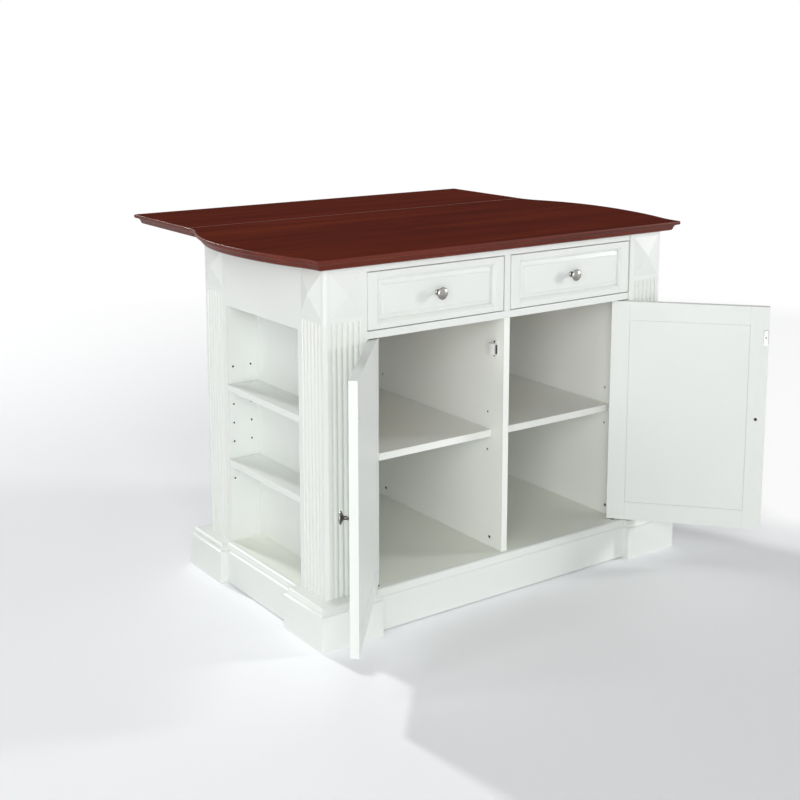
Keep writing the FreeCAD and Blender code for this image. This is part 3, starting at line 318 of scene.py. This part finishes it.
def enamel(name, colour, shade, *marks):
    """Sprayed enamel. Each mark is a function of x, y and z that gives a mask, and the colour
    that shows there."""
    paint = Finish(name)
    tone, rough, peel = sprayed(paint, colour, shade)
    for mask, under in marks:
        tone = paint.blend(mask(*paint.axes()), tone, under)
    return paint.surface(tone, rough, bump=peel, strength=0.12, depth=0.00015, IOR=1.48)


# The insides of the holes are painted near black: painted shade, much darker than the raw board.
PAINTED_HOLE_SHADE = (0.055, 0.048, 0.04)
SHELF_PITCH = 0.0496
SHELF_HOLE = 0.0027


def niche_bores(x, y, z):
    """The shelf holes in the posts' faces towards the open ends, darkened with painted shade."""
    between_posts = 0.186
    holes = bored(abs(x), z, columns=(0.519, 0.468), lowest=0.272, pitch=SHELF_PITCH, rows=7,
                  radius=SHELF_HOLE)
    return holes * (abs(y) < between_posts)


def grooves(x, y, z):
    """The valleys between the reeds, darkened with painted shade."""
    half_length, half_depth, reed_top, deepest = 0.536, 0.292, 0.76, 0.0036
    sunk = (half_length - abs(x)).math("MINIMUM", half_depth - abs(y))
    return sunk.between(0.0008, 0.0034) * (sunk < deepest) * (z < reed_top) * 0.8


PAINT = (0.755, 0.78, 0.755)
PAINT_SHADE = (0.735, 0.76, 0.73)
pyramid_level = 0.759
# The posts' enamel carries painted shade in its holes and in the valleys between the reeds.
post_paint = enamel("post_enamel", PAINT, PAINT_SHADE, (niche_bores, PAINTED_HOLE_SHADE),
                    (grooves, (0.66, 0.675, 0.60)))
cabinet_paint = enamel("off_white_enamel", PAINT, PAINT_SHADE)
for side in ("left", "right"):
    for end in ("front", "back"):
        softened(side + "_" + end + "_post", post_paint, 0.0006, 50, crisp_above=pyramid_level)
        softened(side + "_" + end + "_plinth_block", cabinet_paint, 0.0010, 50)
for node in ("long_plinth_boards", "short_plinth_boards", "top_rail", "mid_rail", "drawer_stile",
             "niche_friezes", "niche_backs", "back_panel", "left_niche_shelves",
             "right_niche_shelves", "floor_bearer"):
    softened(node, cabinet_paint)


# ------------------------------------------------------------------ cabinet inside
# Divider, side panels, floor and shelves of faced board, a shade warmer than the enamel and
# painted lighter than it, as painted light in the shaded bays. Rows of holes take the shelf
# supports, and recesses near the floor hide the divider's bolts.

def wall_bores(x, y, z):
    """Shelf holes and bolt recesses in the divider and the side panels, darkened with painted
    shade.
    """
    shelf_holes = bored(y, z, columns=(-0.229, 0.240), lowest=0.361, pitch=SHELF_PITCH, rows=3,
                        radius=SHELF_HOLE)
    bolts = bored(y, z, columns=(-0.241, 0.225), lowest=0.129, pitch=0.1, rows=1, radius=0.0041)
    return shelf_holes | bolts


# Lighter than the enamel outside: painted light for the shaded bays.
LIGHTENED_BOARD = (0.845, 0.865, 0.825)
LIGHTENED_BOARD_SHADE = (0.825, 0.845, 0.80)
wall_board = enamel("wall_board", LIGHTENED_BOARD, LIGHTENED_BOARD_SHADE, (wall_bores, PAINTED_HOLE_SHADE))
shelf_board = enamel("shelf_board", LIGHTENED_BOARD, LIGHTENED_BOARD_SHADE)
floor_board = enamel("floor_board", (0.82, 0.84, 0.765), (0.80, 0.82, 0.74))
for node in ("centre_divider", "left_side_panel", "right_side_panel"):
    softened(node, wall_board, 0.0005)
softened("cabinet_shelves", shelf_board)
softened("cabinet_floor", floor_board)


# ------------------------------------------------------------------ cherry top and leaf
# Cherry-veneered board with solid moulded edges, stained red-brown and rubbed to a low satin.
# The mouldings are polished brighter. The grain runs from end to end on the top and the leaf.

SEAM_Y = 0.321


def cherry(name, offset):
    """Stained cherry: slow bands along the board, fine fibres, pores, a thin lacquer and a painted
    highlight along the seam.
    """
    wood = Finish(name)
    bands = wood.noise(wood.place(scale=(0.5, 6.0, 6.0), shift=(offset, offset * 1.7, 0)),
                       2.2, 4.0, 0.55, 0.5)
    fibres = wood.noise(wood.place(scale=(3.0, 150.0, 150.0), shift=(offset, 0, 0)),
                        1.6, 4.0, 0.65)
    pores = wood.noise(wood.place(scale=(28.0, 800.0, 800.0)), 1.0, 2.0)
    figure = bands.between(0.3, 0.72) * 0.5 + fibres.between(0.3, 0.7) * 0.5
    tone = wood.add("Val To RGB", {"stops": [
        (0.0, (0.072, 0.0088, 0.0034, 1)), (0.5, (0.118, 0.0150, 0.0050, 1)),
        (1.0, (0.190, 0.0300, 0.0090, 1))]}, Fac=figure)
    tone = wood.blend(pores.between(0.60, 0.70) * 0.45, tone, (0.034, 0.005, 0.003))
    up = wood.upward()
    moulding = 1 - abs(up).between(0.90, 0.985)
    # A painted highlight: the eased arrises at the seam are coloured pale.
    seam_highlight = (abs(wood.axes()[1] - SEAM_Y) < 0.003) * moulding * (up > 0.1)
    tone = wood.blend(seam_highlight * 0.8, tone, (0.42, 0.32, 0.27))
    return wood.surface(tone, figure * 0.05 + 0.50, bump=pores, strength=0.06, depth=0.0001,
                        Specular_IOR_Level=0.0, Coat_Weight=moulding * 0.50 + 0.03,
                        Coat_Roughness=0.30)


softened("main_top", cherry("cherry_top", 0.0), 0.0009, 40)
softened("drop_leaf", cherry("cherry_leaf", 3.1), 0.0009, 40)


# ------------------------------------------------------------------ doors
# Raised panels held in grooved frames, sprayed like the cabinet. The joints between stiles
# and rails telegraph through the paint as hairlines.

def front_paint(name, turn, pivot, stile_lines, rail_levels):
    """The enamel with hairlines where rails meet stiles, on a front that may stand open."""
    paint = Finish(name)
    moved = paint.add("Vector Math", {"operation": "SUBTRACT"},
                      **{"0": paint.add("Tex Coord", output="Object"), "1": pivot})
    shut = paint.add("Vector Rotate", {"rotation_type": "Z_AXIS"}, Vector=moved, Angle=-turn)
    x, z = [paint.add("Separate XYZ", output=axis, Vector=shut) for axis in "XZ"]
    low, high = rail_levels
    first, second = [1 - abs(x - line).between(0.0002, 0.0007) for line in stile_lines]
    joint = (first | second) * ((z < low) | (z > high))
    tone, rough, peel = sprayed(paint, PAINT, PAINT_SHADE)
    tone = paint.blend(joint * 0.35, tone, (0.42, 0.43, 0.40))
    return paint.surface(tone, rough, bump=peel * 0.5 - joint * 2.0, strength=0.14,
                         depth=0.0002, IOR=1.48)


PIVOT_X, PIVOT_Y = 0.397, -0.281
door_turn = {"left": -math.radians(130.5), "right": math.radians(132)}
side_sign = {"left": -1, "right": 1}
inner_edge, outer_edge, stile = 0.0105, 0.4165, 0.048
for side, sign in side_sign.items():
    lines = [sign * (inner_edge + stile - PIVOT_X), sign * (outer_edge - stile - PIVOT_X)]
    paint = front_paint(side + "_door_enamel", door_turn[side], (sign * PIVOT_X, PIVOT_Y, 0),
                        lines, (0.1565, 0.6605))
    softened(side + "_door_frame", paint, 0.0007)
    softened(side + "_door_panel", paint, 0.0005)


def swung(side):
    """The matrix that opens a door's fittings from the closed place with the door."""
    pivot = Matrix.Translation((side_sign[side] * PIVOT_X, PIVOT_Y, 0))
    return pivot @ Matrix.Rotation(door_turn[side], 4, "Z") @ pivot.inverted()


# ------------------------------------------------------------------ drawer fronts
# Made like the doors: short stiles, long rails and a raised panel, glued up and painted, and
# screwed to the boxes from inside.

inner_edge, outer_edge, stile = 0.012, 0.417, 0.032
for side, sign in side_sign.items():
    lines = [sign * (inner_edge + stile), sign * (outer_edge - stile)]
    paint = front_paint(side + "_drawer_enamel", 0.0, (0, 0, 0), lines, (0.754, 0.848))
    softened(side + "_drawer_front", paint, 0.0007)
    softened(side + "_drawer_panel", paint, 0.0005)


# ------------------------------------------------------------------ drawer boxes
# Box sides and bottoms of clear-lacquered plywood, glued and pinned, behind the fronts. The
# plies show as stripes along the sawn upper edges.

ply = Finish("lacquered_plywood")
grain = ply.noise(ply.place(scale=(4.0, 1.2, 40.0)), 3.0, 4.0, 0.55, 0.4)
ply_tone = ply.add("Val To RGB", {"stops": [
    (0.3, (0.50, 0.36, 0.21, 1)), (0.7, (0.66, 0.50, 0.32, 1))]}, Fac=grain)
across_x, across_y, height = ply.axes()
stripes_per_metre, box_middle, inside_ends, upper_edges = 250, -0.03, 0.228, 0.84
stripe_x, stripe_y = [abs(across * stripes_per_metre).math("FRACT") > 0.5
                      for across in (across_x, across_y)]
sawn = abs(ply.upward()) > 0.9
on_side = abs(across_y - box_middle) < inside_ends
plies = (on_side * stripe_x + (1 - on_side) * stripe_y) * sawn * (height > upper_edges)
plywood = ply.surface(ply.blend(plies * 0.5, ply_tone, (0.30, 0.20, 0.11)), grain * 0.1 + 0.42,
                      bump=grain, strength=0.1)
for side in side_sign:
    for part in ("_drawer_box", "_drawer_bottom"):
        softened(side + part, plywood, 0.0006)


# ------------------------------------------------------------------ knobs
# Mushroom knobs turned from zinc and plated in nickel, screwed on from behind. Their nickel is
# painted darker as painted reflection, and the neck and the underside of the head darker still as
# painted shade.

def plating(name, colour, rough):
    """Nickel with fine brush marks."""
    metal = Finish(name)
    brush = metal.noise(metal.place(), 600.0, 2.0)
    cloud = metal.noise(metal.place(), 90.0, 2.0)
    tone = metal.blend(cloud, colour, tuple(part * 0.8 for part in colour))
    return metal.surface(tone, brush * 0.12 + rough, bump=brush, strength=0.04,
                         depth=0.00005, Metallic=1.0)


# Both colours stand below clean nickel as painted dark reflection; the second, darker one is
# painted shade.
bright_nickel = plating("bright_nickel", (0.40, 0.388, 0.368), 0.17)
dark_nickel = plating("dark_nickel", (0.13, 0.125, 0.12), 0.24)


def knob(name, node, matrix):
    """A turned knob: its profile is spun round its axis, then set on its front."""
    profile = [(0.0, 0.0), (0.0, 0.0075), (0.0012, 0.0076), (0.0026, 0.0072), (0.0034, 0.0060),
               (0.0042, 0.0047), (0.0090, 0.0043), (0.0140, 0.0044), (0.0155, 0.0062),
               (0.0176, 0.0107), (0.0192, 0.0138), (0.0203, 0.0150), (0.0213, 0.0149),
               (0.0226, 0.0138), (0.0240, 0.0112), (0.0251, 0.0076), (0.0258, 0.0035),
               (0.0260, 0.0)]
    shade_from, shade_to = 0.0034, 0.0206
    bpy.ops.object.select_all(action="DESELECT")
    bpy.ops.mesh.primitive_circle_add(vertices=3, radius=0.001)
    piece = bpy.context.object
    piece.name = name
    mesh = piece.data
    mesh.clear_geometry()
    mesh.from_pydata([(radius, 0, along) for along, radius in profile],
                     [(index, index + 1) for index in range(len(profile) - 1)], [])
    bpy.ops.object.mode_set(mode="EDIT")
    bpy.ops.mesh.select_all(action="SELECT")
    bpy.ops.mesh.spin(steps=40, angle=math.tau, center=(0, 0, 0), axis=(0, 0, 1))
    bpy.ops.mesh.select_all(action="SELECT")
    bpy.ops.mesh.remove_doubles(threshold=0.00001)
    bpy.ops.mesh.normals_make_consistent(inside=False)
    bpy.ops.object.mode_set(mode="OBJECT")
    bpy.ops.object.shade_smooth_by_angle(angle=math.radians(60))
    mesh.materials.append(bright_nickel)
    mesh.materials.append(dark_nickel)
    # The faces from the neck up to the head's rim take the painted shade.
    for face in mesh.polygons:
        face.material_index = 1 if shade_from < face.center.z < shade_to else 0
    mesh.transform(matrix @ Matrix.Rotation(math.radians(90), 4, "X"))
    stands_for(piece, node)


DOOR_KNOB_X, DOOR_KNOB_Z = 0.0355, 0.4085
for side, sign in side_sign.items():
    on_drawer = Matrix.Translation((sign * 0.2145, -0.287, 0.801))
    on_door = Matrix.Translation((sign * DOOR_KNOB_X, -0.290, DOOR_KNOB_Z))
    knob(side + "_drawer_pull", side + "_drawer_knob", on_drawer)
    knob(side + "_door_pull", side + "_door_knob", swung(side) @ on_door)


# ------------------------------------------------------------------ knob screws
# The screws that hold the door knobs, in recesses in the doors' backs. Their heads are domed
# and have a cross recess.

def pick(piece, test):
    """Edit mode with only the faces selected that pass a test."""
    hold(piece)
    bpy.ops.object.mode_set(mode="EDIT")
    bpy.context.tool_settings.mesh_select_mode = (False, False, True)
    bpy.ops.mesh.select_all(action="DESELECT")
    bpy.ops.object.mode_set(mode="OBJECT")
    for face in piece.data.polygons:
        face.select = test(face)
    bpy.ops.object.mode_set(mode="EDIT")


def carved(piece, tool):
    """The piece with the tool's shape taken out of it."""
    hold(piece)
    cutter = piece.modifiers.new("carved", "BOOLEAN")
    cutter.object = tool
    cutter.solver = "EXACT"
    bpy.ops.object.modifier_apply(modifier="carved")
    bpy.data.objects.remove(tool)


def joined(name, pieces):
    """One object from several, with its place in its mesh."""
    bpy.ops.object.select_all(action="DESELECT")
    for piece in pieces:
        piece.select_set(True)
    bpy.context.view_layer.objects.active = pieces[0]
    if len(pieces) > 1:
        bpy.ops.object.join()
    whole = bpy.context.object
    whole.name = name
    bpy.ops.object.transform_apply()
    return whole


def screws(name, body, finish, places, facing, radius=0.0031, matrix=Matrix()):
    """Cross-head screws at places on one face, each turned a little differently.

    The head is a disc with two steps towards its crown, in parts of its radius."""
    disc = 0.3
    steps = ((0.3, 0.14), (0.35, 0.05))
    slot_length, slot_width, slot_depth = 1.15, 0.26, 0.5
    bpy.ops.object.select_all(action="DESELECT")
    bpy.ops.mesh.primitive_cylinder_add(vertices=20, radius=radius, depth=radius * disc,
                                        location=(0, 0, radius * disc / 2))
    head = bpy.context.object
    bpy.ops.object.transform_apply()
    pick(head, lambda face: face.normal.z > 0.9)
    for inwards, rise in steps:
        bpy.ops.mesh.inset(thickness=radius * inwards)
        bpy.ops.transform.translate(value=(0, 0, radius * rise))
    bpy.ops.object.mode_set(mode="OBJECT")
    for length, width in ((slot_length, slot_width), (slot_width, slot_length)):
        bpy.ops.mesh.primitive_cube_add(size=1, location=(0, 0, radius * slot_depth),
                                        scale=(radius * length, radius * width,
                                               radius * slot_depth))
        carved(head, bpy.context.object)
    head.data.materials.append(finish)
    look = Vector(facing).to_track_quat("Z", "Y").to_matrix().to_4x4()
    pieces = []
    for index, place in enumerate(places):
        twin = bpy.data.objects.new("screw", head.data.copy())
        bpy.context.scene.collection.objects.link(twin)
        turn = Matrix.Rotation(0.4 + index * 1.9, 4, "Z")
        twin.data.transform(matrix @ Matrix.Translation(place) @ look @ turn)
        pieces.append(twin)
    bpy.data.objects.remove(head)
    whole = joined(name, pieces)
    bpy.ops.object.shade_smooth_by_angle(angle=math.radians(28))
    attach(whole, body)


bronzed = Finish("dark_bronze")
fleck = bronzed.noise(bronzed.place(), 200.0, 3.0)
bronze = bronzed.surface(bronzed.blend(fleck, (0.020, 0.018, 0.017), (0.045, 0.040, 0.036)),
                         fleck * 0.15 + 0.38, Metallic=0.6)
for side, sign in side_sign.items():
    screws(side + "_knob_screw", side + "_door", bronze,
           [(sign * DOOR_KNOB_X, -0.273, DOOR_KNOB_Z)], (0, 1, 0), 0.0040, swung(side))


# ------------------------------------------------------------------ door pivots
# Dark bronzed plates with a pin, let into the floor's edge and under the rail, and moulded
# bushes in the doors' ends that turn on the pins.

def fittings(finish, *nodes, width=0.0002):
    """Small fittings with one narrow chamfer."""
    for node in nodes:
        softened(node, finish, width, 40, 1)


fittings(bronze, "door_pivot_mounts")

moulded = Finish("moulded_plastic")
speck = moulded.noise(moulded.place(), 300.0, 2.0)
case_plastic = moulded.surface(moulded.blend(speck, (0.80, 0.80, 0.78), (0.84, 0.84, 0.82)),
                               speck * 0.1 + 0.35, bump=speck, strength=0.05)
fittings(case_plastic, "left_door_bushes", "right_door_bushes", width=0.0003)


# ------------------------------------------------------------------ catches and strike plates
# Magnetic catches of moulded plastic on the divider: a case between two screwed ears, with a
# black magnet between steel plates in its mouth. A zinc plate on each door meets it.

plated = Finish("zinc_plate")
mottle = plated.noise(plated.place(), 60.0, 3.0)
zinc = plated.surface(plated.blend(mottle, (0.50, 0.50, 0.50), (0.62, 0.62, 0.61)),
                      mottle * 0.2 + 0.28, bump=mottle, strength=0.05, Metallic=1.0)
ferrite = Finish("ferrite")
grit = ferrite.noise(ferrite.place(), 500.0, 3.0)
magnet_black = ferrite.surface(ferrite.blend(grit, (0.010, 0.010, 0.011), (0.030, 0.030, 0.032)),
                               grit * 0.2 + 0.45, bump=grit, strength=0.2)


def block(low, high, finish, ease, along=None):
    """A block between two corners. Its edges are eased, all of them or only those that run
    along one axis."""
    bpy.ops.object.select_all(action="DESELECT")
    middle = [(a + b) / 2 for a, b in zip(low, high)]
    bpy.ops.mesh.primitive_cube_add(size=1, location=middle,
                                    scale=[abs(b - a) for a, b in zip(low, high)])
    piece = bpy.context.object
    bpy.ops.object.transform_apply()
    bpy.ops.object.mode_set(mode="EDIT")
    bpy.context.tool_settings.mesh_select_mode = (False, True, False)
    bpy.ops.mesh.select_all(action="DESELECT")
    bpy.ops.object.mode_set(mode="OBJECT")
    corners = piece.data.vertices
    for edge in piece.data.edges:
        run = corners[edge.vertices[0]].co - corners[edge.vertices[1]].co
        edge.select = along is None or abs(run[along]) > run.length * 0.9
    bpy.ops.object.mode_set(mode="EDIT")
    bpy.ops.mesh.bevel(offset=ease, segments=2 if along is None else 6)
    bpy.ops.object.mode_set(mode="OBJECT")
    piece.data.materials.append(finish)
    return piece


def sunk_in(piece, test, rim, shift):
    """Moves the faces that pass a test, inside a rim that stays."""
    pick(piece, test)
    bpy.ops.mesh.inset(thickness=rim)
    bpy.ops.transform.translate(value=shift)
    bpy.ops.object.mode_set(mode="OBJECT")


wall_face, ear_face, case_face = 0.009, 0.011, 0.022
case_bottom, case_top = 0.616, 0.644
ear_bottom, ear_top = 0.609, 0.651
mouth_bottom, mouth_top, mouth_back = 0.6185, 0.6415, -0.262
cases, magnets, plates = [], [], []
for sign in side_sign.values():
    case = block((sign * wall_face, -0.2685, case_bottom), (sign * case_face, -0.2425, case_top),
                 case_plastic, 0.0009)
    sunk_in(case, lambda face: face.normal.y < -0.9 and face.area > 0.0001, 0.0016,
            (0, 0.003, 0))
    ears = block((sign * wall_face, -0.2645, ear_bottom), (sign * ear_face, -0.2465, ear_top),
                 case_plastic, 0.005, along=0)
    cases += [case, ears]
    magnets.append(block((sign * 0.0135, -0.2682, mouth_bottom),
                         (sign * 0.0175, mouth_back, mouth_top), magnet_black, 0.0003))
    for near, far in ((0.0118, 0.0130), (0.0180, 0.0192)):
        plates.append(block((sign * near, -0.2684, mouth_bottom),
                            (sign * far, mouth_back, mouth_top), zinc, 0.0002))
catches = joined("magnetic_catches", cases + magnets + plates)
bpy.ops.object.shade_smooth_by_angle(angle=math.radians(35))
stands_for(catches, "door_catches")
for side, sign in side_sign.items():
    screws(side + "_catch_screws", "cabinet", bronze,
           [(sign * ear_face, -0.2555, level) for level in (0.6125, 0.6475)], (sign, 0, 0), 0.0028)

for side, sign in side_sign.items():
    plate = block((sign * 0.0115, -0.270, 0.610), (sign * 0.0245, -0.269, 0.650), zinc, 0.0062,
                  along=1)
    sunk_in(plate, lambda face: face.normal.y > 0.9 and face.area > 0.0001, 0.0014,
            (0, -0.0004, 0))
    plate.name = side + "_strike"
    plate.data.transform(swung(side))
    stands_for(plate, side + "_strike_plate")
    screws(side + "_strike_screw", side + "_door", bronze,
           [(sign * 0.018, -0.2706, 0.630)], (0, 1, 0), 0.0030, swung(side))


# ------------------------------------------------------------------ shelf supports
# Stamped steel supports, each a pin pushed into a hole, with a plate down the wall and a
# ledge under the shelf.

fittings(zinc, "niche_shelf_supports", "cabinet_shelf_supports")


# ------------------------------------------------------------------ drawer slides
# Folded steel channels screwed to the cabinet's walls, and the drawers' rails of the same
# zinc-plated steel that run in them.

fittings(zinc, "drawer_channels", "left_drawer_runners", "right_drawer_runners")


# ------------------------------------------------------------------ leaf hinges
# Three steel butt hinges screwed under the top and the leaf, with their knuckles just below
# the seam.

fittings(zinc, "leaf_hinge_top_plates", "leaf_hinge_leaf_plates", "leaf_hinge_pins")
hinge_middles, from_middle = (-0.42, 0.0, 0.42), 0.021
from_seam, plate_underside = 0.0165, 0.8865
for board, body, outward in (("top", "cabinet", -1), ("leaf", "drop_leaf", 1)):
    spots = [(middle + end, SEAM_Y + outward * from_seam, plate_underside)
             for middle in hinge_middles for end in (-from_middle, from_middle)]
    screws(board + "_hinge_screws", body, zinc, spots, (0, 0, -1))


# ------------------------------------------------------------------ folding leaf braces
# A steel bar turns on a plate on the cabinet's back, and its roller runs in a channel under
# the leaf, so that the leaf is carried when it is up.

fittings(zinc, "brace_wall_plates", "brace_pivot_pins", "leaf_braces", "leaf_channels")
